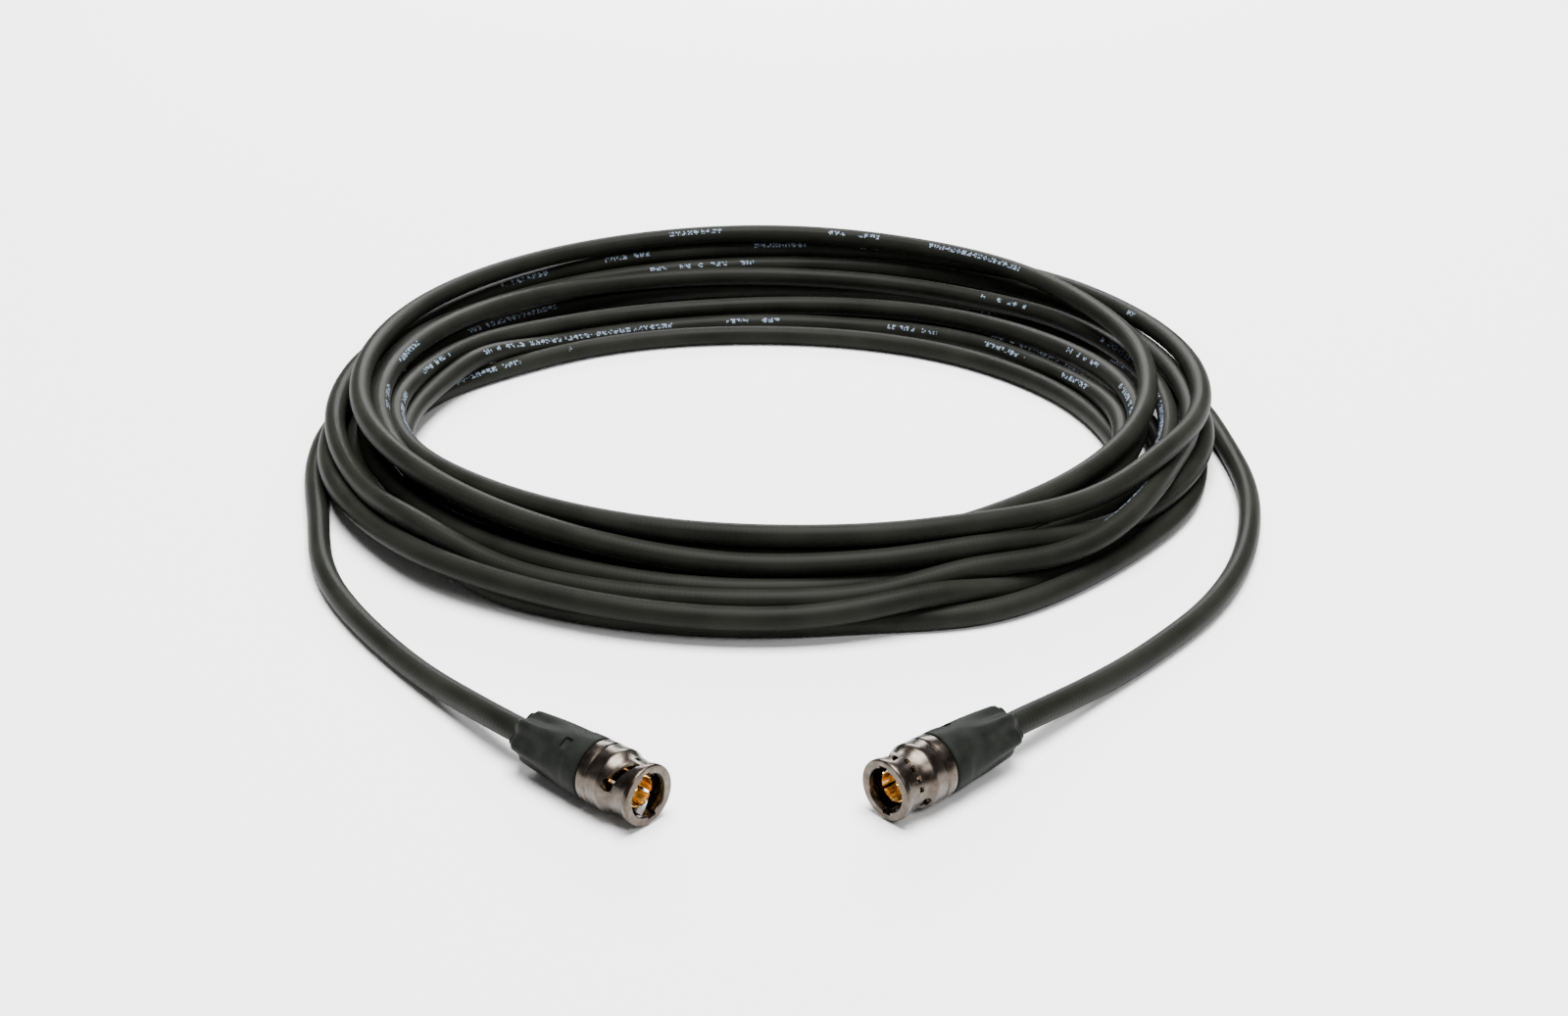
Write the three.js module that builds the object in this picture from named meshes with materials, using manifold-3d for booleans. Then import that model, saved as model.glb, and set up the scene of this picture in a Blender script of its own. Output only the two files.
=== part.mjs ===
// A 75 ohm video lead, coiled flat on the floor, with a bayonet coax plug on each end.
// Millimetres, +Z up. The origin is on the coil's axis, on the floor. +X is to the right and the
// two plugs lie in front of the coil, towards -Y.

import * as THREE from 'three';
import { mergeVertices } from 'three/addons/utils/BufferGeometryUtils.js';
import Module from 'manifold-3d';

const wasm = await Module();
wasm.setup();

// Cable and coil
const cableDiameter = 6.1;
const coilOuterRadius = 134.2;
const turnsWide = 6;
const layers = 5;
const topTurns = 2;
const coilFacets = 48;
const turnArcSteps = 3;

// Clearances
const touchGap = 0.3;
const runningGap = 0.3;

// Plug, measured along its own axis from the boot's rear end to the mating face
const plugLength = 39.4;
const sleeveLength = 15.4;
const plugFacets = 36;
const innerFacets = 24;

// Coupling sleeve
const rimRadius = 7.5;
const bandRadius = 7.4;
const waistRadius = 6.65;
const lipRadius = 7.1;
const lipLength = 1.6;
const waistLength = 4.4;
const shoulderLength = 1.2;
const rimLength = 1.0;
const lipBoreRadius = 5.0;
const sleeveBoreRadius = 5.75;
const lipChamfer = 0.3;

// Bayonet slots, two of them, each an entry notch, a helical ramp and a round seat
const studWidth = 2.3;
const rampAngle = 1.15;
const rampRise = 3.0;
const rampSteps = 5;
const entryAngle = 0.12;
const slotCount = 2;

// Boot
const collarRadius = 7.35;
const collarLength = 4.2;
const shoulderRadius = 7.0;
const bootWaistRadius = 6.3;
const bootWaistAt = 6.0;
const bootTailRadius = 5.2;
const bootTailChamfer = 1.6;
const fluteCount = 6;
const fluteRadius = 2.6;
const fluteDepthRear = 1.3;
const fluteDepthFront = 0.2;
const fluteFacets = 10;

// Fixed inner pieces
const cableGrip = 4.0;
const ferruleRadius = 4.3;
const ferruleLength = 8.0;
const bodyRadius = 5.4;
const contactOuterRadius = 4.05;
const contactWall = 0.6;
const contactRecess = 2.6;
const contactSlotWidth = 0.6;
const contactSlotLength = 6.0;
const contactSlots = 6;
const bodyFrontInset = 9.0;
const insulatorInset = 8.6;
const pinRadius = 0.7;
const pinRecess = 3.6;
const pinTipLength = 1.0;
const pinTipRadius = 0.3;

// Where the plugs lie: the centre of each mating face, and the way it points
const plugPlaces = {
  a: { x: -23.3, y: -210.7, yaw: THREE.MathUtils.degToRad(-41.5) },
  b: { x: 27.4, y: -208.7, yaw: THREE.MathUtils.degToRad(-137.6) },
};

// The route of each tail past its plug, over the floor to the coil's rim
const tailRoutes = {
  a: [
    [-57.4, -180.1, 7.3], [-62.0, -174.6, 6.5], [-70.1, -164.4, 4.9], [-78.0, -154.7, 3.8],
    [-85.6, -144.9, 3.2], [-92.9, -134.9, 3.05], [-100.1, -124.4, 3.05], [-106.6, -113.6, 3.05],
    [-112.4, -102.2, 3.05], [-117.2, -90.2, 3.05], [-121.2, -75.0, 3.05], [-124.0, -58.2, 3.05],
  ],
  b: [
    [60.7, -178.1, 7.3], [65.4, -173.0, 6.5], [75.0, -162.0, 4.6], [83.6, -152.5, 3.5],
    [92.4, -142.8, 3.05], [101.0, -132.8, 3.05], [109.2, -122.4, 3.05], [116.5, -111.4, 3.05],
    [122.9, -99.3, 3.05], [128.2, -86.6, 3.05], [132.3, -73.4, 3.05], [135.4, -60.0, 3.05],
    [137.6, -46.6, 3.05], [138.7, -33.0, 3.05], [138.4, -19.4, 3.05], [137.3, -8.0, 3.05],
  ],
};
const tailSides = 10;
const tailStepDiameters = 2;

// Finishes
const jacket = { color: 0x2b2c27, roughness: 0.55, metalness: 0 };
const moulding = { color: 0x1c1d1c, roughness: 0.5, metalness: 0 };
const gunmetal = { color: 0x6f675f, roughness: 0.28, metalness: 1 };
const gilt = { color: 0xd9a441, roughness: 0.22, metalness: 1 };
const dielectric = { color: 0xe9e6df, roughness: 0.45, metalness: 0 };

const cableRadius = cableDiameter / 2;
const layerRise = cableDiameter * Math.sqrt(3) / 2;
const plugAxisHeight = rimRadius;

function meshOf(name, geometry, finish) {
  const mesh = new THREE.Mesh(geometry, new THREE.MeshStandardMaterial(finish));
  mesh.name = name;
  return mesh;
}

// A turned solid about +Z from a closed outline of [radius, height] points
function turned(outline, facets) {
  const points = outline.map(([radius, height]) => new THREE.Vector2(radius, height));
  const geometry = new THREE.LatheGeometry(points, facets);
  geometry.rotateX(Math.PI / 2);
  return geometry;
}

// A ring's outline is closed on itself, clear of the axis
function turnedRing(outline, facets) {
  return turned([...outline, outline[0]], facets);
}

function solidOf(geometry) {
  const bare = geometry.clone();
  for (const name of Object.keys(bare.attributes)) {
    if (name !== 'position') bare.deleteAttribute(name);
  }
  const merged = mergeVertices(bare, 1e-4);
  return new wasm.Manifold(new wasm.Mesh({
    numProp: 3,
    vertProperties: merged.attributes.position.array,
    triVerts: new Uint32Array(merged.index.array),
  }));
}

function geometryOf(solid) {
  const { vertProperties, triVerts } = solid.getMesh();
  const geometry = new THREE.BufferGeometry();
  geometry.setAttribute('position', new THREE.BufferAttribute(vertProperties, 3));
  geometry.setIndex(new THREE.BufferAttribute(triVerts, 1));
  return geometry;
}

function cutAll(geometry, cutters) {
  let solid = solidOf(geometry);
  for (const cutter of cutters) solid = solid.subtract(solidOf(cutter));
  return geometryOf(solid);
}

// The coil: turns nested in layers, every layer's inner edge half a turn further out than the one
// below, so that the bundle is steep outside and slopes down to the bore
function layerEnds(layer) {
  const outer = coilOuterRadius - cableRadius - (layer % 2) * cableRadius;
  const innerOfBottom = coilOuterRadius - cableRadius - (turnsWide - 1) * cableDiameter;
  const inner = layer === layers - 1
    ? outer - (topTurns - 1) * cableDiameter
    : innerOfBottom + layer * cableRadius;
  return { outer, inner, height: cableRadius + layer * layerRise };
}

function rimTurns() {
  const ends = Array.from({ length: layers }, (_, layer) => layerEnds(layer));
  const outside = ends.map(({ outer, height }) => [outer, height]);
  const top = ends[layers - 1];
  const across = [];
  for (let radius = top.outer - cableDiameter; radius > top.inner - touchGap; radius -= cableDiameter) {
    across.push([radius, top.height]);
  }
  const below = ends[layers - 2];
  const shelf = [];
  for (let radius = top.inner - cableRadius; radius > below.inner + touchGap; radius -= cableDiameter) {
    shelf.push([radius, below.height]);
  }
  const inside = ends.slice(0, -1).reverse().map(({ inner, height }) => [inner, height]);
  return [...outside, ...across, ...shelf, ...inside];
}

function coilOutline() {
  const turns = rimTurns();
  const outline = [];
  turns.forEach(([radius, height], index) => {
    const before = turns[index - 1] ?? [radius, height - cableDiameter];
    const after = turns[index + 1] ?? [radius, height - cableDiameter];
    const start = Math.atan2(before[1] - height, before[0] - radius);
    let end = Math.atan2(after[1] - height, after[0] - radius);
    while (end <= start) end += 2 * Math.PI;
    const first = index === 0 ? 0 : 1;
    for (let step = first; step <= turnArcSteps; step += 1) {
      const angle = start + (end - start) * step / turnArcSteps;
      outline.push([
        radius + cableRadius * Math.cos(angle),
        height + cableRadius * Math.sin(angle),
      ]);
    }
  });
  return outline;
}

// A tail: the cable from inside the boot's rear end to the coil's rim
function tailGeometry(key) {
  const { x, y, yaw } = plugPlaces[key];
  const fromFace = plugLength - cableGrip + touchGap;
  const onAxis = (back) => new THREE.Vector3(
    x - back * Math.cos(yaw),
    y - back * Math.sin(yaw),
    plugAxisHeight,
  );
  const points = [onAxis(fromFace), onAxis(plugLength + touchGap)];
  for (const [px, py, pz] of tailRoutes[key]) points.push(new THREE.Vector3(px, py, pz));
  const curve = new THREE.CatmullRomCurve3(points, false, 'centripetal');
  const section = new THREE.Shape();
  section.absarc(0, 0, cableRadius, 0, 2 * Math.PI, false);
  const steps = Math.ceil(curve.getLength() / (tailStepDiameters * cableDiameter));
  return new THREE.ExtrudeGeometry(section, {
    steps,
    curveSegments: tailSides,
    extrudePath: curve,
    bevelEnabled: false,
  });
}

// The coupling sleeve: lip, waist, raised rim and band, with the stepped bore inside
function sleeveGeometry() {
  const face = plugLength;
  const rear = plugLength - sleeveLength;
  const waistFront = face - lipLength;
  const waistRear = waistFront - waistLength;
  const rimFront = waistRear - shoulderLength;
  const rimRear = rimFront - rimLength;
  const outline = [
    [sleeveBoreRadius, rear],
    [bandRadius - lipChamfer, rear],
    [bandRadius, rear + lipChamfer],
    [bandRadius, rimRear - lipChamfer],
    [rimRadius, rimRear],
    [rimRadius, rimFront],
    [waistRadius, waistRear],
    [waistRadius, waistFront - lipChamfer],
    [lipRadius, waistFront],
    [lipRadius, face - lipChamfer],
    [lipRadius - lipChamfer, face],
    [lipBoreRadius, face],
    [lipBoreRadius, waistFront],
    [sleeveBoreRadius, waistFront],
  ];
  return cutAll(turnedRing(outline, plugFacets), bayonetCutters());
}

// Entry notches through the lip's bore, then a chain of short cylinders along each ramp
function bayonetCutters() {
  const cutters = [];
  const notchReach = sleeveBoreRadius - lipBoreRadius;
  const rampStart = plugLength - lipLength - studWidth / 2;
  for (let slot = 0; slot < slotCount; slot += 1) {
    const turn = entryAngle + slot * 2 * Math.PI / slotCount;
    const notch = new THREE.BoxGeometry(2 * notchReach, studWidth, lipLength + 2 * touchGap);
    notch.translate(lipBoreRadius, 0, plugLength - lipLength / 2);
    notch.rotateZ(turn);
    cutters.push(notch);
    for (let step = 0; step < rampSteps; step += 1) {
      cutters.push(rampCutter(turn, rampStart, step));
    }
  }
  return cutters;
}

function rampCutter(turn, rampStart, step) {
  const inner = sleeveBoreRadius - touchGap;
  const outer = rimRadius + touchGap;
  const from = step / rampSteps;
  const span = rampAngle / rampSteps;
  const width = sleeveBoreRadius * span + studWidth;
  const last = step === rampSteps - 1;
  const cutter = last
    ? new THREE.CylinderGeometry(studWidth / 2, studWidth / 2, outer - inner, 12)
    : new THREE.BoxGeometry(width, outer - inner, studWidth * 0.8);
  if (!last) cutter.rotateY(Math.atan2(rampRise, sleeveBoreRadius * rampAngle));
  cutter.rotateZ(-Math.PI / 2);
  cutter.translate((inner + outer) / 2, 0, rampStart - rampRise * from);
  cutter.rotateZ(turn + rampAngle * from);
  return cutter;
}

// The moulded boot: collar, tapering grip with flutes, and a bore for the ferrule and the cable
function bootGeometry() {
  const front = plugLength - sleeveLength - touchGap;
  const ferruleRear = cableGrip + touchGap;
  const wideBore = bodyRadius + runningGap;
  const narrowBore = ferruleRadius + runningGap;
  const cableBore = cableRadius + runningGap;
  const stepAt = ferruleRear + ferruleLength;
  const outline = [
    [cableBore, 0],
    [bootTailRadius, 0],
    [bootWaistRadius - touchGap, bootTailChamfer],
    [bootWaistRadius, bootWaistAt],
    [shoulderRadius, front - collarLength],
    [collarRadius, front - collarLength + lipChamfer],
    [collarRadius, front - lipChamfer],
    [collarRadius - lipChamfer, front],
    [wideBore, front],
    [wideBore, stepAt - runningGap],
    [narrowBore, stepAt - runningGap],
    [narrowBore, cableGrip],
    [cableBore, cableGrip],
  ];
  return cutAll(turnedRing(outline, plugFacets), fluteCutters(front));
}

function fluteCutters(front) {
  const cutters = [];
  const rearDistance = bootWaistRadius + fluteRadius - fluteDepthRear;
  const frontAt = front - collarLength;
  const frontDistance = shoulderRadius + fluteRadius - fluteDepthFront;
  const slope = Math.atan2(frontDistance - rearDistance, frontAt);
  const length = frontAt / Math.cos(slope);
  for (let index = 0; index < fluteCount; index += 1) {
    const cutter = new THREE.CylinderGeometry(fluteRadius, fluteRadius, length, fluteFacets);
    cutter.rotateX(Math.PI / 2);
    cutter.translate(0, 0, length / 2);
    cutter.rotateY(slope);
    cutter.translate(rearDistance, 0, 0);
    cutter.rotateZ((index + 0.5) * 2 * Math.PI / fluteCount);
    cutters.push(cutter);
  }
  return cutters;
}

// The fixed body: crimp ferrule at the rear, then the tube that holds contact and insulator
function bodyGeometry() {
  const rear = cableGrip + touchGap;
  const step = rear + ferruleLength;
  const bore = contactOuterRadius + touchGap;
  return turned([
    [0, rear],
    [ferruleRadius, rear],
    [ferruleRadius, step],
    [bodyRadius, step],
    [bodyRadius, plugLength - bodyFrontInset],
    [bore, plugLength - bodyFrontInset],
    [bore, step + touchGap],
    [0, step + touchGap],
  ], innerFacets);
}

// Pieces inside the body all seat on its floor
function innerSeat() {
  return cableGrip + touchGap + ferruleLength + 2 * touchGap;
}

function contactGeometry() {
  const front = plugLength - contactRecess;
  const tube = turnedRing([
    [contactOuterRadius - contactWall, innerSeat()],
    [contactOuterRadius, innerSeat()],
    [contactOuterRadius, front],
    [contactOuterRadius - contactWall, front],
  ], innerFacets);
  const cutters = [];
  for (let slot = 0; slot < contactSlots; slot += 1) {
    const cutter = new THREE.BoxGeometry(2 * contactWall + touchGap, contactSlotWidth, contactSlotLength);
    cutter.translate(contactOuterRadius - contactWall / 2, 0, front - contactSlotLength / 2 + touchGap);
    cutter.rotateZ((slot + 0.25) * 2 * Math.PI / contactSlots);
    cutters.push(cutter);
  }
  return cutAll(tube, cutters);
}

function insulatorGeometry() {
  const outer = contactOuterRadius - contactWall - touchGap;
  const bore = pinRadius + touchGap;
  return turnedRing([
    [bore, innerSeat()],
    [outer, innerSeat()],
    [outer, plugLength - insulatorInset],
    [bore, plugLength - insulatorInset],
  ], innerFacets);
}

function pinGeometry() {
  const tip = plugLength - pinRecess;
  return turned([
    [0, innerSeat()],
    [pinRadius, innerSeat()],
    [pinRadius, tip - pinTipLength],
    [pinTipRadius, tip],
    [0, tip],
  ], innerFacets / 2);
}

// One plug, its axis level on the floor
function plug(key) {
  const name = (piece) => `plug_${key}_${piece}`;
  const along = new THREE.Group();
  along.add(
    meshOf(name('body'), bodyGeometry(), gunmetal),
    meshOf(name('contact'), contactGeometry(), gilt),
    meshOf(name('insulator'), insulatorGeometry(), dielectric),
    meshOf(name('pin'), pinGeometry(), gilt),
    meshOf(name('sleeve'), sleeveGeometry(), gunmetal),
    meshOf(name('boot'), bootGeometry(), moulding),
  );
  along.position.x = -plugLength;
  along.rotation.y = Math.PI / 2;
  const placed = new THREE.Group();
  placed.add(along);
  placed.rotation.z = plugPlaces[key].yaw;
  placed.position.set(plugPlaces[key].x, plugPlaces[key].y, plugAxisHeight);
  return placed;
}

const lead = new THREE.Group();
lead.add(meshOf('cable_coil', turnedRing(coilOutline(), coilFacets), jacket));
for (const key of Object.keys(plugPlaces)) {
  lead.add(meshOf(`tail_${key}`, tailGeometry(key), jacket));
  lead.add(plug(key));
}

export default lead;
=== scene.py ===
"""Coiled coaxial video lead: a black cable wound in a loose flat coil, with a bayonet plug and a
finned boot on each end. Lengths are in metres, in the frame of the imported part."""

from math import cos, pi, radians, sin, tau

import bpy
import numpy as np
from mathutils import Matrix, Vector


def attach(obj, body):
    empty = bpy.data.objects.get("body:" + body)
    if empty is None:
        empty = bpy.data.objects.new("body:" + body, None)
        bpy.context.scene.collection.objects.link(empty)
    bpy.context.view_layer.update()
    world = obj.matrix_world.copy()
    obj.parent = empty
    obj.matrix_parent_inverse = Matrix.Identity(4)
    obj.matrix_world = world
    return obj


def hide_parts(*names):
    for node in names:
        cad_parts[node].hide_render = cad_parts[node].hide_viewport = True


MM = 0.001

# The photograph's camera, fitted to the floor places of the plugs, tails and coil
CAMERA_PLACE = (5.7 * MM, -606.0 * MM, 260.1 * MM)
CAMERA_TILT = radians(64.99)
CAMERA_LENS = 49.75
CAMERA_SENSOR = 36.0
CAMERA_NEAR = 0.01

# The cable and its coil
CABLE_DIAMETER = 6.1 * MM
CABLE_RADIUS = CABLE_DIAMETER / 2
TURN_STEPS = 144
CORD_STEP = 2.6 * MM
CORD_SIDES = 24
JOIN_EASE = 32.0 * MM

# The plugs: how far the mating face lies from the boot's rear in millimetres, the centre of each
# face, the way that the plug points, and where behind its face it holds the cable straight
FACE = 39.4
PLUG_LENGTH = FACE * MM
PLUG_AXIS_HEIGHT = 7.5 * MM
PLUG_FACE = {"a": (-23.3 * MM, -210.7 * MM), "b": (27.4 * MM, -208.7 * MM)}
PLUG_YAW = {"a": radians(-41.5), "b": radians(-137.6)}
CABLE_HELD_AT = (35.7 * MM, 39.7 * MM)

# The forms of a plug are turned profiles, as (place along the axis from the boot's rear, radius)
# in millimetres
BOOT_SIDES = 96
BOOT_REAR = [(0.0, 3.55), (0.0, 4.6), (0.25, 4.95), (1.2, 5.2), (1.5, 5.6), (1.9, 5.95)]
BOOT_COLLAR = [(18.6, 7.05), (19.2, 7.22), (20.0, 7.3), (21.5, 7.35), (23.35, 7.35), (23.7, 7.05)]
BOOT_BORE = [(23.7, 5.7), (12.0, 5.7), (12.0, 4.6), (4.0, 4.6), (4.0, 3.55), (0.0, 3.55)]
GRIP_START, GRIP_STEP, GRIP_RINGS = 2.6, 0.9, 18
GRIP_LENGTH = 16.0
GRIP_RADIUS, GRIP_FLARE = 6.1, 0.95
RIB_COUNT = 6
GROOVE_DEPTH = 1.3
GROOVE_END, GROOVE_FADE = 17.6, 12.0
GROOVE_NARROWING, GROOVE_EDGE = 1.12, 1.4
GROOVE_LEAST = 0.02
RECESS_AT = (17.7 * MM, 7.3 * MM)
RECESS_SIZE = (2.4 * MM, 3.0 * MM, 1.9 * MM)
RECESS_ROLLS = (radians(30), radians(210))
RECESS_EDGE = 0.35 * MM
BOOT_EDGE = 0.14 * MM

SLEEVE_SIDES = 120
SLEEVE_OUTSIDE = [
    (24.0, 7.05), (24.3, 7.35), (26.6, 7.4), (26.85, 7.15), (27.15, 7.15), (27.4, 7.4),
    (29.7, 7.4), (30.0, 7.5), (30.9, 7.5), (31.2, 7.35), (32.3, 6.95), (33.4, 6.65),
    (37.4, 6.6), (37.8, 6.75), (38.0, 7.05), (39.0, 7.1), (39.2, 7.05), (39.4, 6.85),
]
SLEEVE_BORE = [
    (39.4, 5.25), (39.15, 5.02), (38.0, 5.0), (37.9, 5.75), (24.9, 5.75), (24.6, 6.1),
    (24.0, 6.15), (24.0, 7.05),
]
OPENING_AT = (34.6 * MM, 6.65 * MM)
OPENING_SIZE = (1.25 * MM, 1.25 * MM, 2.2 * MM)
OPENING_FIRST, OPENING_STEP, OPENING_COUNT = 101, 21, 4
SLEEVE_EDGE = 0.07 * MM

# The bayonet: its notch in the lip, the ramp behind it, and the round seat at the ramp's end
LIP_DEPTH, NOTCH_REACH = 1.6, 2.0
SLOT_WIDTH, SLOT_INSIDE, SLOT_OUTSIDE, NOTCH_RADIUS = 2.3, 5.2, 8.2, 5.75
RAMP_START = 3.4
RAMP_LEAD = 0.15
RAMP_RISE = 3.0
RAMP_TURN = 1.15
RAMP_STEPS = 14
SEAT_RADIUS, SEAT_SIDES = 1.45, 32
ENTRY_ROLL = 0.12

CONTACT_SIDES = 72
CONTACT_MOUTH, CONTACT_ROOT, CONTACT_BACK = 36.8, 30.8, 12.9
CONTACT_SLOTS, CONTACT_SLOT_WIDTH, CONTACT_SLOT_DEPTH = 6, 0.6, 2.0
CONTACT_INSIDE, CONTACT_WALL, CONTACT_OUTSIDE = 3.45, 3.8, 3.98
CONTACT_EDGE = 0.06 * MM
INSULATOR = [
    (29.9, 0.75), (29.9, 1.5), (30.8, 1.65), (30.8, 3.0), (30.5, 3.15), (12.9, 3.15),
    (12.9, 0.75), (29.9, 0.75),
]
INSULATOR_EDGE = 0.05 * MM
PIN_SIDES = 40
PIN_RADIUS, PIN_BACK, PIN_SHOULDER, PIN_TAPER, PIN_TIP = 0.68, 12.9, 33.4, 34.9, 35.8
PIN_TIP_ANGLES = [15, 35, 55, 72, 84]
PIN_EDGE = 0.02 * MM
BODY_SIDES = 72
BODY = [
    (4.3, 4.1), (4.5, 4.3), (12.3, 4.3), (12.3, 5.2), (12.5, 5.4), (30.0, 5.4),
    (30.4, 5.15), (30.4, 4.4), (12.6, 4.4), (12.6, 0.1), (4.3, 0.1), (4.3, 4.1),
]
BODY_EDGE = 0.08 * MM

# How edges are broken and shaded
EDGE_SEGMENTS = 2
EDGE_ANGLE = radians(32)
SMOOTH_ANGLE = radians(40)
SEAM = 0.002 * MM
SAME_PLACE, SAME_RADIUS = 0.05, 0.02

# The two free ends, from the boot to the coil, in millimetres as the part's source has them
TAIL_ROUTE = {
    "a": [
        (-57.4, -180.1, 7.3), (-62.0, -174.6, 6.5), (-70.1, -164.4, 4.9), (-78.0, -154.7, 3.8),
        (-85.6, -144.9, 3.2), (-92.9, -134.9, 3.05), (-100.1, -124.4, 3.05), (-106.6, -113.6, 3.05),
        (-112.4, -102.2, 3.05), (-117.2, -90.2, 3.05), (-121.2, -75.0, 3.05), (-124.0, -58.2, 3.05),
    ],
    "b": [
        (60.7, -178.1, 7.3), (65.4, -173.0, 6.5), (75.0, -162.0, 4.6), (83.6, -152.5, 3.5),
        (92.4, -142.8, 3.05), (101.0, -132.8, 3.05), (109.2, -122.4, 3.05), (116.5, -111.4, 3.05),
        (122.9, -99.3, 3.05), (128.2, -86.6, 3.05), (132.3, -73.4, 3.05), (135.4, -60.0, 3.05),
        (137.6, -46.6, 3.05), (138.7, -33.0, 3.05), (138.4, -19.4, 3.05), (137.3, -8.0, 3.05),
    ],
}

# Where each turn passes, as (distance from the coil's axis, height) in millimetres, at the left,
# the back, the right and the front. The turns run clockwise from above.
TURNS = [
    [(131.5, 3.05), (126.5, 3.05), (129.5, 3.05), (125.2, 3.05)],
    [(122.5, 8.6), (121.0, 8.6), (131.0, 9.0), (112.0, 14.6)],
    [(121.5, 24.5), (129.0, 25.2), (115.2, 23.5), (105.5, 14.6)],
    [(114.5, 19.8), (116.5, 14.5), (120.0, 13.5), (115.5, 8.9)],
    [(119.5, 14.0), (127.0, 15.5), (127.5, 15.2), (122.0, 9.0)],
    [(128.5, 14.6), (129.5, 19.6), (130.5, 20.5), (106.5, 20.4)],
    [(110.5, 14.9), (101.3, 9.0), (111.0, 15.3), (107.0, 9.3)],
    [(107.5, 9.6), (94.0, 3.05), (106.0, 8.6), (112.2, 3.05)],
    [(113.5, 3.3), (79.3, 3.05), (104.5, 3.4), (118.8, 3.05)],
    [(124.5, 3.05), (108.0, 3.05), (117.0, 3.05), (128.6, 8.2)],
    [(129.0, 9.1), (133.5, 3.05), (137.5, 3.05)],
]
COIL_START_DEG = -25.1
COIL_END_DEG = 3.3

# How the turns settle: each sweep straightens them, draws them to their places, down and together,
# and pushes overlapping turns apart. The last sweeps only straighten and part them. A push acts
# partly at its own step, and partly shared over (steps to each side, share).
SETTLING_SWEEPS = 500
LAST_SWEEPS_FROM = 0.85
STIFFNESS = 0.06
HOLD = 0.02
SAG = 0.03
COHESION = 0.01
APART = 1.01
OWN_PUSH = 0.4
SHARED_PUSH, LAST_SHARED_PUSH = (5, 1.2), (2, 0.5)
HELD_STEPS = 3
EASE_SWEEPS, EASE_REACH = 6, 4

# The jacket: braid under it, and the printed marks on the turns' inner upper side
BRAID_PITCH = 2.6 * MM
BRAID_CARRIERS = 7
PRINT_AROUND = 0.135
PRINT_HALF_WIDTH = 0.042
PRINT_STROKE = 0.55 * MM
PRINT_LETTER = 4
PRINT_WORD = 19.0 * MM
PRINT_REPEAT = 0.46
PRINT_STRENGTH = 0.42
PRINT_CLEAR_ENDS = 0.42
PRINT_DRIFT = 0.10
PRINT_HALF_ROWS = 1.5
PRINT_STROKE_BLANK = 0.42
PRINT_LETTER_FILL = 0.78
PRINT_WORD_BLANK = 0.45
PRINT_LETTER_BLANK = 0.12
PRINT_RUN_FILL = 0.55
PRINT_WORN = 0.40
PRINT_COLOUR = (0.30, 0.38, 0.50)
JACKET_DARK = (0.0056, 0.0060, 0.0046)
JACKET_LIGHT = (0.0115, 0.0121, 0.0095)

# The plugs' colours
BOOT_DARK = (0.0058, 0.0065, 0.0056)
BOOT_LIGHT = (0.0115, 0.0127, 0.0110)
NICKEL_DARK = (0.036, 0.028, 0.022)
NICKEL = (0.066, 0.053, 0.043)
NICKEL_LIGHT = (0.130, 0.112, 0.094)
GOLD_DEEP = (0.80, 0.50, 0.16)
GOLD_PALE = (0.95, 0.70, 0.30)
WHITE_DEEP = (0.74, 0.72, 0.66)
WHITE_PALE = (0.86, 0.84, 0.79)

# Studio: how bright the surroundings are, and each softbox's place, aim, size and power
FLOOR_SIZE = 8.0
FLOOR_SHADE = (0.92, 0.92, 0.92, 1)
FLOOR_ROUGHNESS, FLOOR_SHINE = 0.9, 0.1
WORLD_LIGHT = 0.16
SOFTBOXES = [
    ("overhead_softbox", (0.15, 0.0, 2.50), (0, 0, 0), (1.7, 1.6), 300.0),
    ("back_softbox", (0.0, 1.10, 0.55), (0, 0, 0), (0.7, 0.25), 16.0),
    ("front_softbox", (0.50, -0.80, 0.80), (0, -0.15, 0), (0.5, 0.3), 5.0),
]


# Lights, camera and floor


def place_camera():
    data = bpy.data.cameras.new("photo_camera")
    data.lens = CAMERA_LENS
    data.sensor_width = CAMERA_SENSOR
    data.clip_start = CAMERA_NEAR
    camera = bpy.data.objects.new("photo_camera", data)
    camera.location = CAMERA_PLACE
    camera.rotation_euler = (CAMERA_TILT, 0, 0)
    bpy.context.scene.collection.objects.link(camera)
    bpy.context.scene.camera = camera


def soft_light(name, place, aim, size, power):
    data = bpy.data.lights.new(name, "AREA")
    data.shape = "RECTANGLE"
    data.size, data.size_y = size
    data.energy = power
    light = bpy.data.objects.new(name, data)
    light.location = place
    light.rotation_euler = (Vector(aim) - Vector(place)).to_track_quat("-Z", "Y").to_euler()
    bpy.context.scene.collection.objects.link(light)


def studio():
    world = bpy.data.worlds.new("studio")
    bpy.context.scene.world = world
    world.use_nodes = True
    world.node_tree.nodes["Background"].inputs["Color"].default_value = (1, 1, 1, 1)
    world.node_tree.nodes["Background"].inputs["Strength"].default_value = WORLD_LIGHT
    for name, place, aim, size, power in SOFTBOXES:
        soft_light(name, place, aim, size, power)


def plain_floor():
    bpy.ops.mesh.primitive_plane_add(size=FLOOR_SIZE, location=(0, 0, 0))
    floor = bpy.context.object
    floor.name = "floor"
    paint = bpy.data.materials.new("floor_paper")
    paint.use_nodes = True
    shader = paint.node_tree.nodes["Principled BSDF"]
    shader.inputs["Base Color"].default_value = FLOOR_SHADE
    shader.inputs["Roughness"].default_value = FLOOR_ROUGHNESS
    shader.inputs["Specular IOR Level"].default_value = FLOOR_SHINE
    floor.data.materials.append(paint)


# The cable's centre line


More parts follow.
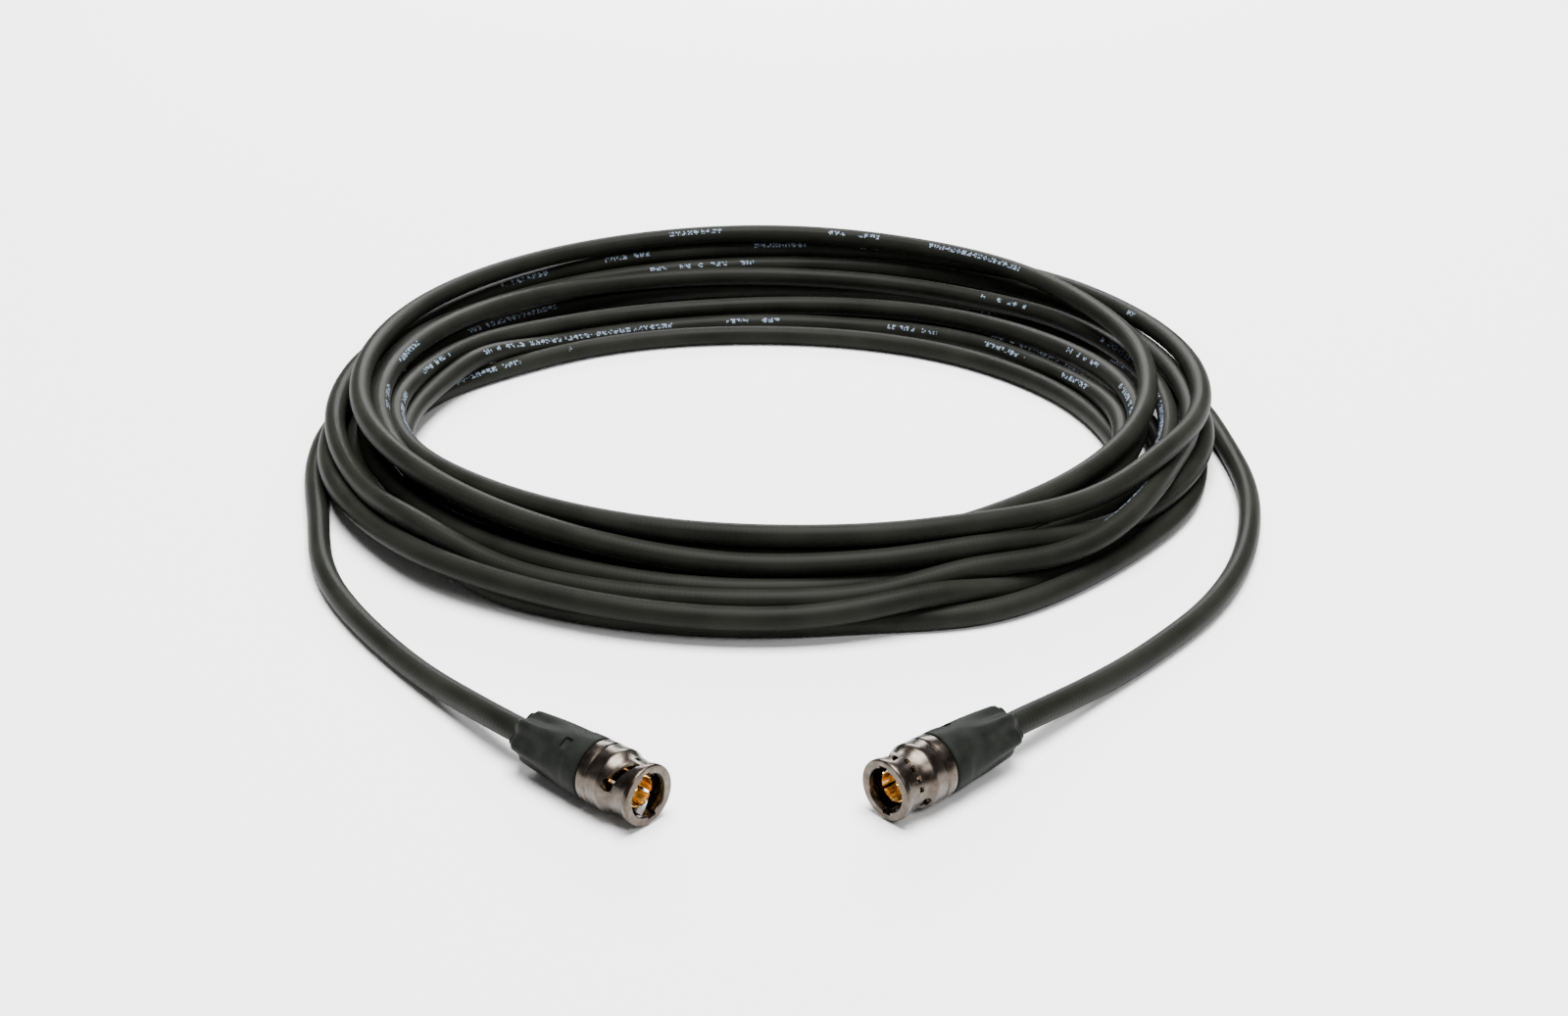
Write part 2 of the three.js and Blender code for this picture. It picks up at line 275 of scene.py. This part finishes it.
def smooth_through(at, values, wanted):
    """A cubic spline with free ends through the values at the places at, read at wanted."""
    at, values = np.asarray(at, float), np.asarray(values, float)
    gap = np.diff(at)
    slope = np.diff(values, axis=0) / gap.reshape(-1, *[1] * (values.ndim - 1))
    n = len(at)
    system, right = np.eye(n), np.zeros_like(values)
    for i in range(1, n - 1):
        system[i, i - 1:i + 2] = gap[i - 1], 2 * (gap[i - 1] + gap[i]), gap[i]
        right[i] = 6 * (slope[i] - slope[i - 1])
    bend = np.linalg.solve(system, right)
    i = np.clip(np.searchsorted(at, wanted) - 1, 0, n - 2)
    shape = (-1, *[1] * (values.ndim - 1))
    h, u = gap[i].reshape(shape), (wanted - at[i]).reshape(shape)
    rest = h - u
    return (
        bend[i] * rest ** 3 / (6 * h) + bend[i + 1] * u ** 3 / (6 * h)
        + (values[i] / h - bend[i] * h / 6) * rest + (values[i + 1] / h - bend[i + 1] * h / 6) * u
    )


def evenly(points, step):
    """The same line with its points step apart."""
    along = np.r_[0, np.cumsum(np.linalg.norm(np.diff(points, axis=0), axis=1))]
    count = int(round(along[-1] / step))
    return smooth_through(along, points, np.linspace(0, along[-1], count + 1))


def spread(values, reach):
    """The values averaged over reach steps to each side along the cable."""
    width = 2 * reach + 1
    kernel = np.hanning(width + 2)[1:-1]
    kernel /= kernel.sum()
    wide = np.pad(values, ((reach, reach), (0, 0)), mode="edge")
    return np.stack([np.convolve(wide[:, k], kernel, mode="valid") for k in range(values.shape[1])], 1)


def coil_turns():
    """The coil as (angle, radius, height), settled so that its turns lie on and beside each other."""
    passes = [p for turn in TURNS for p in turn]
    angle = radians(90.0) * np.arange(len(passes))
    angle[-1] += radians(COIL_END_DEG)
    angle = np.r_[radians(COIL_START_DEG), angle]
    tail_end = TAIL_ROUTE["a"][-1]
    wish = np.array([(np.hypot(*tail_end[:2]), tail_end[2]), *passes])
    step = tau / TURN_STEPS
    run = np.arange(int(np.ceil(angle[0] / step)), int(angle[-1] / step) + 1)
    wish = smooth_through(angle, wish, run * step)
    floor_height = CABLE_RADIUS / MM
    apart = CABLE_DIAMETER / MM * APART
    wish[:, 1] = np.maximum(wish[:, 1], floor_height)
    turn_of, step_of = (run - run[0]) // TURN_STEPS, (run - run[0]) % TURN_STEPS
    rows = turn_of[-1] + 1
    place = wish.copy()
    held = np.zeros(len(run), bool)
    held[:HELD_STEPS] = held[-HELD_STEPS:] = True
    for sweep in range(SETTLING_SWEEPS):
        late = sweep > SETTLING_SWEEPS * LAST_SWEEPS_FROM
        bend = place[:-4] - 4 * place[1:-3] + 6 * place[2:-2] - 4 * place[3:-1] + place[4:]
        move = np.zeros_like(place)
        move[2:-2] = -STIFFNESS * bend
        if not late:
            move += HOLD * (wish - place)
            move[:, 1] -= SAG
        place[~held] += move[~held]
        grid = np.full((rows, TURN_STEPS, 2), np.nan)
        grid[turn_of, step_of] = place
        gap = grid[:, None] - grid[None, :]
        reach = np.hypot(gap[..., 0], gap[..., 1])
        reach[np.arange(rows), np.arange(rows)] = np.nan
        short = np.nan_to_num(np.maximum(apart - reach, 0))
        way = np.nan_to_num(gap / np.maximum(reach, 1e-6)[..., None])
        push = (way * short[..., None]).sum(1) * 0.5
        if not late:
            nearest = np.nanmin(reach, axis=1, keepdims=True)
            pull = np.where(reach <= nearest + 1e-9, np.maximum(reach - apart, 0), 0)
            push -= (way * np.nan_to_num(pull)[..., None]).sum(1) * COHESION
        push = push[turn_of, step_of]
        shared_reach, shared_share = LAST_SHARED_PUSH if late else SHARED_PUSH
        push = push * OWN_PUSH + spread(push, shared_reach) * shared_share
        place[~held] += push[~held]
        place[:, 1] = np.maximum(place[:, 1], floor_height)
    return run * step, place


def plug_way(end):
    return np.array([cos(PLUG_YAW[end]), sin(PLUG_YAW[end]), 0.0])


def plug_axis_point(end, behind_face):
    """A point on a plug's axis, that far behind its mating face."""
    return np.array([*PLUG_FACE[end], PLUG_AXIS_HEIGHT]) - plug_way(end) * behind_face


def cable_line():
    """The whole cable's centre line, from one boot's rear to the other's, CORD_STEP apart."""
    run, place = coil_turns()
    angle = pi - run
    coil = np.stack([place[:, 0] * np.cos(angle), place[:, 0] * np.sin(angle), place[:, 1]], 1) * MM
    ends = {}
    for end in "ab":
        straight = [plug_axis_point(end, behind_face) for behind_face in CABLE_HELD_AT]
        ends[end] = np.array([*straight, *(np.array(TAIL_ROUTE[end]) * MM)])
    points = np.vstack([ends["a"][:-1], coil, ends["b"][::-1][1:]])
    line = evenly(points, CORD_STEP)
    for end, joint in (("a", coil[0]), ("b", coil[-1])):
        # full within half of JOIN_EASE of the joint, and gone at one and a half
        away = np.linalg.norm(line - joint, axis=1)[:, None]
        ease = np.clip(1.5 - away / JOIN_EASE, 0, 1)
        ease[np.abs(np.arange(len(line)) - np.argmin(away)) > 2 * JOIN_EASE / CORD_STEP] = 0
        for _ in range(EASE_SWEEPS):
            line = line + ease * (spread(line, EASE_REACH) - line)
    return evenly(line, CORD_STEP)


def tube(name, line, radius, sides):
    """A closed round tube along a line, with its own map: u along in metres, v round from the top."""
    way = np.gradient(line, axis=0)
    way /= np.linalg.norm(way, axis=1)[:, None]
    up = np.array([0, 0, 1.0]) - way * way[:, 2:3]
    up /= np.linalg.norm(up, axis=1)[:, None]
    side = np.cross(way, up)
    turn = np.arange(sides) * tau / sides
    rings = line[:, None] + radius * (
        np.cos(turn)[None, :, None] * up[:, None] + np.sin(turn)[None, :, None] * side[:, None]
    )
    count = len(line)
    faces, maps = [], []
    along = np.r_[0, np.cumsum(np.linalg.norm(np.diff(line, axis=0), axis=1))]
    for i in range(count - 1):
        for k in range(sides):
            n = (k + 1) % sides
            faces.append((i * sides + k, i * sides + n, (i + 1) * sides + n, (i + 1) * sides + k))
            maps += [
                (along[i], k / sides), (along[i], (k + 1) / sides),
                (along[i + 1], (k + 1) / sides), (along[i + 1], k / sides),
            ]
    faces.append(tuple(reversed(range(sides))))
    maps += [(0, 0)] * sides
    faces.append(tuple((count - 1) * sides + k for k in range(sides)))
    maps += [(along[-1], 0)] * sides
    mesh = bpy.data.meshes.new(name)
    mesh.from_pydata([tuple(p) for p in rings.reshape(-1, 3)], [], faces)
    layer = mesh.uv_layers.new(name="cable_map")
    layer.data.foreach_set("uv", np.array(maps, np.float32).ravel())
    mesh.polygons.foreach_set("use_smooth", [True] * (len(faces) - 2) + [False] * 2)
    mesh.update()
    piece = bpy.data.objects.new(name, mesh)
    bpy.context.scene.collection.objects.link(piece)
    return piece, along[-1]


# Plugs, each modelled once along +X with its boot's rear at the origin, then copied to its place


def drawn_out(name, profile, sides, filled=False):
    """A turned form along +X: a circle drawn out through its profile, given in millimetres."""
    bpy.ops.object.select_all(action="DESELECT")
    (place, radius), *rest = [(at * MM, r * MM) for at, r in profile]
    bpy.ops.mesh.primitive_circle_add(
        vertices=sides, radius=radius, fill_type="NGON" if filled else "NOTHING",
        location=(place, 0, 0), rotation=(0, pi / 2, 0),
    )
    piece = bpy.context.object
    piece.name = piece.data.name = name
    bpy.ops.object.transform_apply(location=True, rotation=True, scale=True)
    bpy.ops.object.mode_set(mode="EDIT")
    bpy.ops.mesh.select_all(action="SELECT")
    for next_place, next_radius in rest:
        bpy.ops.mesh.extrude_region_move(
            TRANSFORM_OT_translate={"value": (next_place - place, 0, 0)}
        )
        scale = next_radius / radius
        bpy.ops.transform.resize(value=(1, scale, scale), center_override=(next_place, 0, 0))
        place, radius = next_place, next_radius
    finish_edit()
    return piece


def finish_edit():
    """Closes the seams of the piece in edit mode and turns its faces outwards."""
    bpy.ops.mesh.select_all(action="SELECT")
    bpy.ops.mesh.remove_doubles(threshold=SEAM)
    bpy.ops.mesh.normals_make_consistent(inside=False)
    bpy.ops.object.mode_set(mode="OBJECT")


def only(piece):
    bpy.ops.object.select_all(action="DESELECT")
    piece.select_set(True)
    bpy.context.view_layer.objects.active = piece


def carve(piece, cutter):
    """Cuts the cutter's shape out of the piece and takes the cutter away."""
    only(piece)
    step = piece.modifiers.new("carve", "BOOLEAN")
    step.object, step.operation, step.solver = cutter, "DIFFERENCE", "EXACT"
    bpy.ops.object.modifier_apply(modifier=step.name)
    bpy.data.objects.remove(cutter)


def soften(piece, width):
    """Breaks the piece's sharp edges, and shades the rest smooth."""
    only(piece)
    step = piece.modifiers.new("soften", "BEVEL")
    step.width, step.segments = width, EDGE_SEGMENTS
    step.limit_method, step.angle_limit = "ANGLE", EDGE_ANGLE
    step.miter_outer = "MITER_ARC"
    bpy.ops.object.modifier_apply(modifier=step.name)
    bpy.ops.object.shade_smooth_by_angle(angle=SMOOTH_ANGLE)


def block(place, size, roll, bevel=0.0):
    """A box on the plug's surface: place is (along, radius) and roll its angle round from below."""
    bpy.ops.object.select_all(action="DESELECT")
    bpy.ops.mesh.primitive_cube_add(size=1, location=(0, 0, 0))
    box = bpy.context.object
    bpy.ops.transform.resize(value=size)
    bpy.ops.transform.translate(value=(place[0], 0, -place[1]))
    bpy.ops.object.transform_apply(location=True, rotation=True, scale=True)
    box.rotation_euler = (roll, 0, 0)
    bpy.ops.object.transform_apply(location=True, rotation=True, scale=True)
    if bevel:
        soften(box, bevel)
    return box


def joined(pieces):
    only(pieces[0])
    for piece in pieces[1:]:
        piece.select_set(True)
    bpy.ops.object.join()
    return bpy.context.object


def grip_radius(at):
    """The grip's radius at a place along the boot, in millimetres."""
    return GRIP_RADIUS + GRIP_FLARE * sin(min((at - BOOT_REAR[-1][0]) / GRIP_LENGTH, 1.0) * pi / 2)


def boot_form():
    """The moulded boot: a smooth collar, six ribs with grooves between, and a stepped rear."""
    grip = [GRIP_START + GRIP_STEP * k for k in range(GRIP_RINGS)]
    rings = [*BOOT_REAR, *[(at, grip_radius(at)) for at in grip], *BOOT_COLLAR]
    piece = drawn_out("boot", [*rings, *BOOT_BORE], BOOT_SIDES)
    mesh = piece.data
    bpy.ops.object.mode_set(mode="EDIT")
    bpy.ops.mesh.select_mode(type="VERT")
    share = BOOT_SIDES // RIB_COUNT
    for at, radius in rings[1:-len(BOOT_COLLAR)]:
        fade = min(max((GROOVE_END - at) / GROOVE_FADE, 0.0), 1.0)
        for offset in range(share // 2 + 1):
            turn = offset / (share / 2) * pi / 2 * GROOVE_NARROWING
            depth = GROOVE_DEPTH * fade * max(cos(turn), 0.0) ** GROOVE_EDGE
            if depth < GROOVE_LEAST:
                continue
            bpy.ops.mesh.select_all(action="DESELECT")
            bpy.ops.object.mode_set(mode="OBJECT")
            for vertex in mesh.vertices:
                x, y, z = vertex.co / MM
                if abs(x - at) > SAME_PLACE or abs((y * y + z * z) ** 0.5 - radius) > SAME_RADIUS:
                    continue
                step = round((np.arctan2(y, -z) / tau) * BOOT_SIDES) % share
                if min(step, share - step) == offset:
                    vertex.select = True
            bpy.ops.object.mode_set(mode="EDIT")
            scale = (radius - depth) / radius
            bpy.ops.transform.resize(value=(1, scale, scale), center_override=(at * MM, 0, 0))
    bpy.ops.object.mode_set(mode="OBJECT")
    recesses = [block(RECESS_AT, RECESS_SIZE, roll, bevel=RECESS_EDGE) for roll in RECESS_ROLLS]
    carve(piece, joined(recesses))
    soften(piece, BOOT_EDGE)
    return piece


def bayonet_cutters(roll):
    """The shapes that cut one bayonet slot: entry notch, helical ramp and round seat."""
    middle, thick = (SLOT_INSIDE + SLOT_OUTSIDE) / 2, SLOT_OUTSIDE - SLOT_INSIDE
    notch = block(
        ((FACE - LIP_DEPTH / 2) * MM, NOTCH_RADIUS / 2 * MM),
        ((LIP_DEPTH + NOTCH_REACH) * MM, SLOT_WIDTH * MM, NOTCH_RADIUS * MM), roll,
    )
    bpy.ops.object.select_all(action="DESELECT")
    start = FACE - RAMP_START
    bpy.ops.mesh.primitive_plane_add(size=1, location=(0, 0, 0), rotation=(pi / 2, 0, 0))
    ramp = bpy.context.object
    bpy.ops.transform.resize(value=(SLOT_WIDTH * MM, 1, thick * MM))
    bpy.ops.transform.translate(value=(start * MM, 0, -middle * MM))
    bpy.ops.object.transform_apply(location=True, rotation=True, scale=True)
    ramp.rotation_euler = (roll - RAMP_LEAD, 0, 0)
    bpy.ops.object.transform_apply(location=True, rotation=True, scale=True)
    bpy.ops.object.mode_set(mode="EDIT")
    bpy.ops.mesh.select_all(action="SELECT")
    for _ in range(RAMP_STEPS):
        bpy.ops.mesh.extrude_region_move(
            TRANSFORM_OT_translate={"value": (-RAMP_RISE * MM / RAMP_STEPS, 0, 0)}
        )
        bpy.ops.transform.rotate(
            value=-RAMP_TURN / RAMP_STEPS, orient_axis="X", center_override=(0, 0, 0)
        )
    finish_edit()
    bpy.ops.object.select_all(action="DESELECT")
    bpy.ops.mesh.primitive_cylinder_add(
        vertices=SEAT_SIDES, radius=SEAT_RADIUS * MM, depth=thick * MM
    )
    seat = bpy.context.object
    bpy.ops.transform.translate(value=((start - RAMP_RISE) * MM, 0, -middle * MM))
    bpy.ops.object.transform_apply(location=True, rotation=True, scale=True)
    seat.rotation_euler = (roll - RAMP_LEAD + RAMP_TURN, 0, 0)
    bpy.ops.object.transform_apply(location=True, rotation=True, scale=True)
    return [notch, ramp, seat]


def sleeve_form():
    """The coupling sleeve: lip, waist, raised rim and band, with its slots and small openings."""
    piece = drawn_out("sleeve", [*SLEEVE_OUTSIDE, *SLEEVE_BORE], SLEEVE_SIDES)
    for roll in (ENTRY_ROLL, ENTRY_ROLL + pi):
        for cutter in bayonet_cutters(roll):
            carve(piece, cutter)
    openings = [
        block(OPENING_AT, OPENING_SIZE, radians(OPENING_FIRST + OPENING_STEP * k))
        for k in range(OPENING_COUNT)
    ]
    carve(piece, joined(openings))
    soften(piece, SLEEVE_EDGE)
    return piece


def contact_form():
    """The gold outer contact: a thin tube with six slots cut back from its mouth."""
    mouth, root, back = CONTACT_MOUTH, CONTACT_ROOT, CONTACT_BACK
    piece = drawn_out(
        "contact",
        [
            (mouth, CONTACT_INSIDE), (mouth - 0.15, 4.0), (mouth - 1.4, 4.05),
            (mouth - 2.2, CONTACT_OUTSIDE), (back, CONTACT_OUTSIDE), (back, CONTACT_INSIDE),
            (mouth, CONTACT_INSIDE),
        ],
        CONTACT_SIDES,
    )
    slots = [
        block(
            ((root + mouth + 1) / 2 * MM, CONTACT_WALL * MM),
            ((mouth + 1 - root) * MM, CONTACT_SLOT_WIDTH * MM, CONTACT_SLOT_DEPTH * MM),
            tau * k / CONTACT_SLOTS,
        )
        for k in range(CONTACT_SLOTS)
    ]
    carve(piece, joined(slots))
    soften(piece, CONTACT_EDGE)
    return piece


def insulator_form():
    """The white dielectric: a stepped cup round the centre pin."""
    piece = drawn_out("insulator", INSULATOR, CONTACT_SIDES)
    soften(piece, INSULATOR_EDGE)
    return piece


def pin_form():
    """The gold centre pin, with its round tip."""
    tip = [
        (PIN_TIP - PIN_RADIUS + PIN_RADIUS * sin(a), PIN_RADIUS * cos(a))
        for a in np.radians(PIN_TIP_ANGLES)
    ]
    shank = [(at, PIN_RADIUS) for at in (PIN_BACK, PIN_SHOULDER, PIN_TAPER)]
    piece = drawn_out("pin", [*shank, *tip], PIN_SIDES, filled=True)
    soften(piece, PIN_EDGE)
    return piece


def body_form():
    """The fixed metal body inside the sleeve, with its crimp ferrule behind."""
    piece = drawn_out("body", BODY, BODY_SIDES)
    soften(piece, BODY_EDGE)
    return piece


def copied_to(form, end, piece_name, body, paint):
    """A copy of a plug's form at one of its two places, riding on its body."""
    piece = form.copy()
    piece.data = form.data.copy()
    piece.name = piece.data.name = "plug_" + end + "_" + piece_name
    bpy.context.scene.collection.objects.link(piece)
    only(piece)
    piece.rotation_euler = (0, 0, PLUG_YAW[end])
    piece.location = plug_axis_point(end, PLUG_LENGTH)
    bpy.ops.object.transform_apply(location=True, rotation=True, scale=True)
    piece.data.materials.clear()
    piece.data.materials.append(paint)
    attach(piece, body)
    return piece


# Finishes


class Value:
    """A node's output that can be used in an expression; each operator adds a Math node."""

    def __init__(self, paint, socket):
        self.paint, self.socket = paint, socket

    def output(self, name):
        """Another output of the same node."""
        return Value(self.paint, self.socket.node.outputs[name])

    def maths(self, operation, *others):
        return self.paint.node("ShaderNodeMath", {"operation": operation}, *others)

    def __add__(self, other):
        return self.maths("ADD", self, other)

    def __radd__(self, other):
        return self.maths("ADD", other, self)

    def __sub__(self, other):
        return self.maths("SUBTRACT", self, other)

    def __mul__(self, other):
        return self.maths("MULTIPLY", self, other)

    def __truediv__(self, other):
        return self.maths("DIVIDE", self, other)

    def __gt__(self, other):
        return self.maths("GREATER_THAN", self, other)

    def __lt__(self, other):
        return self.maths("LESS_THAN", self, other)

    def floor(self):
        return self.maths("FLOOR", self)

    def fraction(self):
        return self.maths("FRACT", self)

    def sine(self):
        return self.maths("SINE", self)


class Paint:
    """A material on the Principled shader, with one method that adds any other node."""

    def __init__(self, name, **uniform):
        self.material = bpy.data.materials.new(name)
        self.material.use_nodes = True
        self.tree = self.material.node_tree
        self.shader = self.tree.nodes["Principled BSDF"]
        for socket, value in uniform.items():
            self.shader.inputs[socket.replace("_", " ")].default_value = value

    def node(self, kind, settings=None, *inputs, out=0, **named):
        made = self.tree.nodes.new(kind)
        for key, value in (settings or {}).items():
            if key == "stops":
                ramp = made.color_ramp
                while len(ramp.elements) < len(value):
                    ramp.elements.new(1.0)
                for element, (at, shade) in zip(ramp.elements, value):
                    element.position, element.color = at, (*shade, 1.0)
            else:
                setattr(made, key, value)
        wanted = [*enumerate(inputs), *((key.replace("_", " "), v) for key, v in named.items())]
        for key, value in wanted:
            if isinstance(value, Value):
                self.tree.links.new(value.socket, made.inputs[key])
            elif value is not None:
                made.inputs[key].default_value = value
        return Value(self, made.outputs[out])

    def feed(self, socket, value):
        self.tree.links.new(value.socket, self.shader.inputs[socket])

    def place(self):
        return self.node("ShaderNodeTexCoord", out="Object")

    def noise(self, scale, detail):
        return self.node("ShaderNodeTexNoise", None, Vector=self.place(), Scale=scale, Detail=detail)

    def rings(self, end, scale, detail):
        """Fine tool rings round a plug's axis."""
        reach = along_plug(self, end)
        line = {"noise_dimensions": "1D"}
        return self.node("ShaderNodeTexNoise", line, W=reach, Scale=scale, Detail=detail)

    def chance(self, at):
        """A random value for each whole number, the same every time."""
        return self.node("ShaderNodeTexWhiteNoise", {"noise_dimensions": "1D"}, W=at)

    def shades(self, factor, *stops):
        return self.node("ShaderNodeValToRGB", {"stops": stops}, factor)

    def blended(self, factor, first, second):
        """A colour between two others, each a colour or another node's output."""
        mixed = self.tree.nodes.new("ShaderNodeMix")
        mixed.data_type = "RGBA"
        for name, value in (("Factor", factor), ("A", first), ("B", second)):
            slots = [i for i in mixed.inputs if i.name == name and i.enabled]
            if isinstance(value, Value):
                self.tree.links.new(value.socket, slots[0])
            else:
                slots[0].default_value = value if name == "Factor" else (*value, 1.0)
        return Value(self, [o for o in mixed.outputs if o.enabled][0])

    def relief(self, height, depth, strength):
        """Raised and sunk detail of that depth in metres."""
        self.feed("Normal", self.node(
            "ShaderNodeBump", None, Height=height, Distance=depth, Strength=strength,
        ))


def printed_marks(paint, along, round_it, cable_length):
    """A line of plain marks on the coiled turns' inner upper side, as one factor."""
    wander = paint.noise(7.0, 1.0)
    drift = (wander - 0.5) * PRINT_DRIFT
    band = (round_it + drift - PRINT_AROUND) / PRINT_HALF_WIDTH
    in_band = (band < 1.0) * (band > -1.0)
    row = (band * PRINT_HALF_ROWS + PRINT_HALF_ROWS).floor()
    column = (along / PRINT_STROKE).floor()
    letter = along / (PRINT_STROKE * PRINT_LETTER)
    spot = paint.node("ShaderNodeCombineXYZ", None, column, row, 0.0)
    spots = paint.node("ShaderNodeTexWhiteNoise", {"noise_dimensions": "2D"}, Vector=spot)
    stroke = spots > PRINT_STROKE_BLANK
    between = letter.fraction() < PRINT_LETTER_FILL
    in_word = paint.chance((along / PRINT_WORD).floor()) > PRINT_WORD_BLANK
    in_letter = paint.chance(letter.floor()) > PRINT_LETTER_BLANK
    in_run = (along / PRINT_REPEAT).fraction() < PRINT_RUN_FILL
    unworn = paint.noise(900.0, 2.0) > PRINT_WORN
    coiled = (along > PRINT_CLEAR_ENDS) * (along < cable_length - PRINT_CLEAR_ENDS)
    marks = in_band * stroke * between * in_word * in_letter * in_run
    return marks * unworn * coiled * PRINT_STRENGTH


def jacket_paint(cable_length):
    """Matt olive-black jacket: faint braid showing through, and a line of plain pale marks."""
    paint = Paint("cable_jacket", Specular_IOR_Level=0.045)
    cable_map = paint.node("ShaderNodeUVMap", {"uv_map": "cable_map"})
    along = paint.node("ShaderNodeSeparateXYZ", None, cable_map)
    round_it = along.output("Y")
    patches = paint.noise(55.0, 4.0)
    grain = paint.noise(2600.0, 2.0)
    braid_turn = along * (tau / BRAID_PITCH)
    strands = round_it * (tau * BRAID_CARRIERS)
    braid = (braid_turn + strands).sine() * (braid_turn - strands).sine()
    ink = printed_marks(paint, along, round_it, cable_length)
    rubber = paint.shades(patches, (0.30, JACKET_DARK), (0.72, JACKET_LIGHT))
    paint.feed("Base Color", paint.blended(ink, rubber, PRINT_COLOUR))
    paint.feed("Roughness", 0.40 + patches * 0.16 + ink * 0.1)
    paint.relief(braid * 0.6 + grain * 0.5 + ink * 0.5, 0.05 * MM, 0.55)
    return paint.material


def along_plug(paint, end):
    """How far a point lies along a plug's axis from its boot's rear, in metres."""
    rear, way = plug_axis_point(end, PLUG_LENGTH), plug_way(end)
    reach = paint.node(
        "ShaderNodeVectorMath", {"operation": "DOT_PRODUCT"}, paint.place(), tuple(way), out="Value"
    )
    return reach - float(np.dot(rear, way))


def boot_paint(end):
    """Satin black moulding with a fine spark-eroded grain and slightly rubbed ribs."""
    paint = Paint("boot_moulding_" + end, Specular_IOR_Level=0.03)
    grain = paint.noise(3800.0, 3.0)
    rub = paint.noise(260.0, 4.0)
    paint.feed("Base Color", paint.shades(rub, (0.35, BOOT_DARK), (0.75, BOOT_LIGHT)))
    paint.feed("Roughness", 0.38 + rub * 0.20)
    paint.relief(grain, 0.03 * MM, 0.5)
    return paint.material


def nickel_paint(end):
    """Dark warm nickel, turned: fine tool rings along the axis and patchy polish."""
    paint = Paint("plug_metal_" + end, Metallic=1.0)
    rings = paint.rings(end, 9000.0, 3.0)
    cloud = paint.noise(420.0, 4.0)
    paint.feed("Base Color", paint.shades(
        cloud * 0.7 + rings * 0.3, (0.30, NICKEL_DARK), (0.52, NICKEL), (0.75, NICKEL_LIGHT),
    ))
    paint.feed("Roughness", 0.20 + cloud * 0.16)
    paint.relief(rings + cloud * 0.3, 0.02 * MM, 0.5)
    return paint.material


def gold_paint(end):
    """Bright gold plating, a little clouded."""
    paint = Paint("contact_gold_" + end, Metallic=1.0)
    rings = paint.rings(end, 7000.0, 2.0)
    cloud = paint.noise(700.0, 3.0)
    paint.feed("Base Color", paint.shades(cloud, (0.3, GOLD_DEEP), (0.7, GOLD_PALE)))
    paint.feed("Roughness", 0.14 + cloud * 0.12)
    paint.relief(rings, 0.01 * MM, 0.4)
    return paint.material


def insulator_paint(end):
    """Smooth white dielectric."""
    paint = Paint("insulator_" + end)
    cloud = paint.noise(900.0, 3.0)
    paint.feed("Base Color", paint.shades(cloud, (0.3, WHITE_DEEP), (0.7, WHITE_PALE)))
    paint.feed("Roughness", 0.34 + cloud * 0.14)
    paint.relief(cloud, 0.01 * MM, 0.4)
    return paint.material


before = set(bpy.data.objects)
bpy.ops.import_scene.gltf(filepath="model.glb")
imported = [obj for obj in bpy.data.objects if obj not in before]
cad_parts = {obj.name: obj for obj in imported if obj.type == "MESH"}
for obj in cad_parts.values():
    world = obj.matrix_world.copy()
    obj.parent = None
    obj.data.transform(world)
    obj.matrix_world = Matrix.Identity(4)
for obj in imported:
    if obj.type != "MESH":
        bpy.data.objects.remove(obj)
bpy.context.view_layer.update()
bpy.ops.object.select_all(action="DESELECT")

place_camera()
studio()
plain_floor()

line = cable_line()
cable, cable_length = tube("cable", line, CABLE_RADIUS, CORD_SIDES)
cable.data.materials.append(jacket_paint(cable_length))
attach(cable, "lead")
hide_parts("cable_coil", "tail_a", "tail_b")

forms = {
    "boot": (boot_form(), "boot_moulding", boot_paint),
    "sleeve": (sleeve_form(), "plug_metal", nickel_paint),
    "body": (body_form(), "plug_metal", nickel_paint),
    "contact": (contact_form(), "contact_gold", gold_paint),
    "pin": (pin_form(), "contact_gold", gold_paint),
    "insulator": (insulator_form(), "insulator", insulator_paint),
}
for end in "ab":
    for piece_name, (form, slot, paint) in forms.items():
        body = "coupling_" + end if piece_name in ("boot", "sleeve") else "lead"
        piece = copied_to(form, end, piece_name, body, paint(end))
        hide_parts("plug_" + end + "_" + piece_name)
for form, _, _ in forms.values():
    bpy.data.objects.remove(form)
